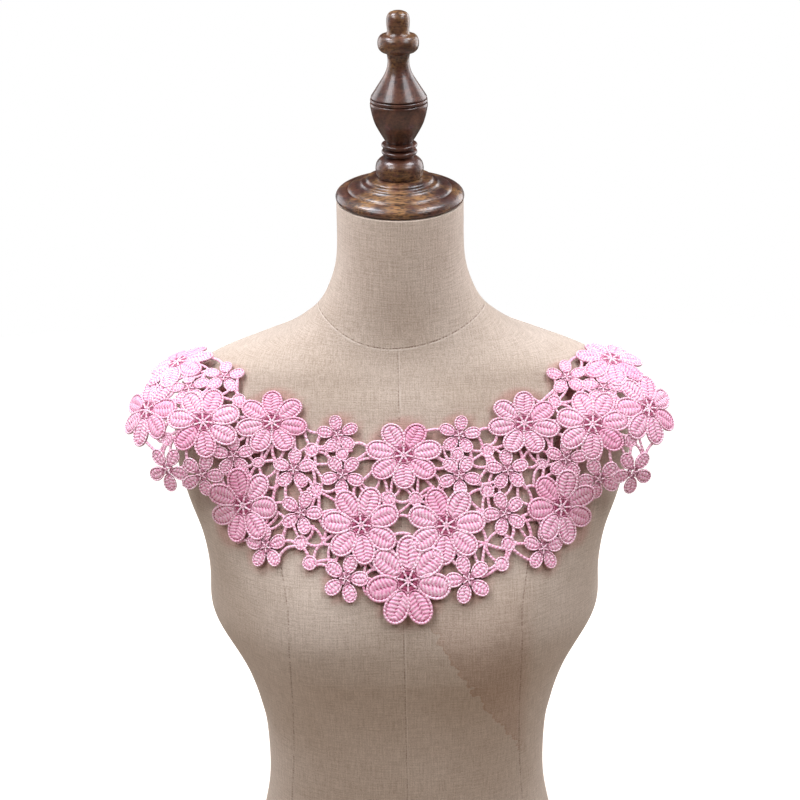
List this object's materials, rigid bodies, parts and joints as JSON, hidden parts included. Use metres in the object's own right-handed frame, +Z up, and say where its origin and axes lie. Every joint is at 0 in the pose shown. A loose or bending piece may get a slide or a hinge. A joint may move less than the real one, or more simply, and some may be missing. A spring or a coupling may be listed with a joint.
{
  "type": "lace collar on dress form",
  "caption": "Pink lace collar of joined flowers, laid over the chest and shoulders of a limbless linen dress form with a dark turned wood neck cap and finial.",
  "frame": {"origin": "middle of the dress form's flat base", "axes": "+Z up, the form's front faces -Y, +X to the wearer's left"},
  "size_m": [0.4289, 0.2299, 0.8047],
  "materials": {
    "pink_embroidery_thread": "satin-stitched pink thread, open guipure lace",
    "linen": "plain-woven natural linen, matt",
    "stained_walnut": "dark stained and varnished, glossy"
  },
  "bodies": {
    "root": {"lace_collar": "pink_embroidery_thread", "dress_form": "linen", "neck_cap": "stained_walnut", "finial": "stained_walnut"}
  },
  "joints": []
}
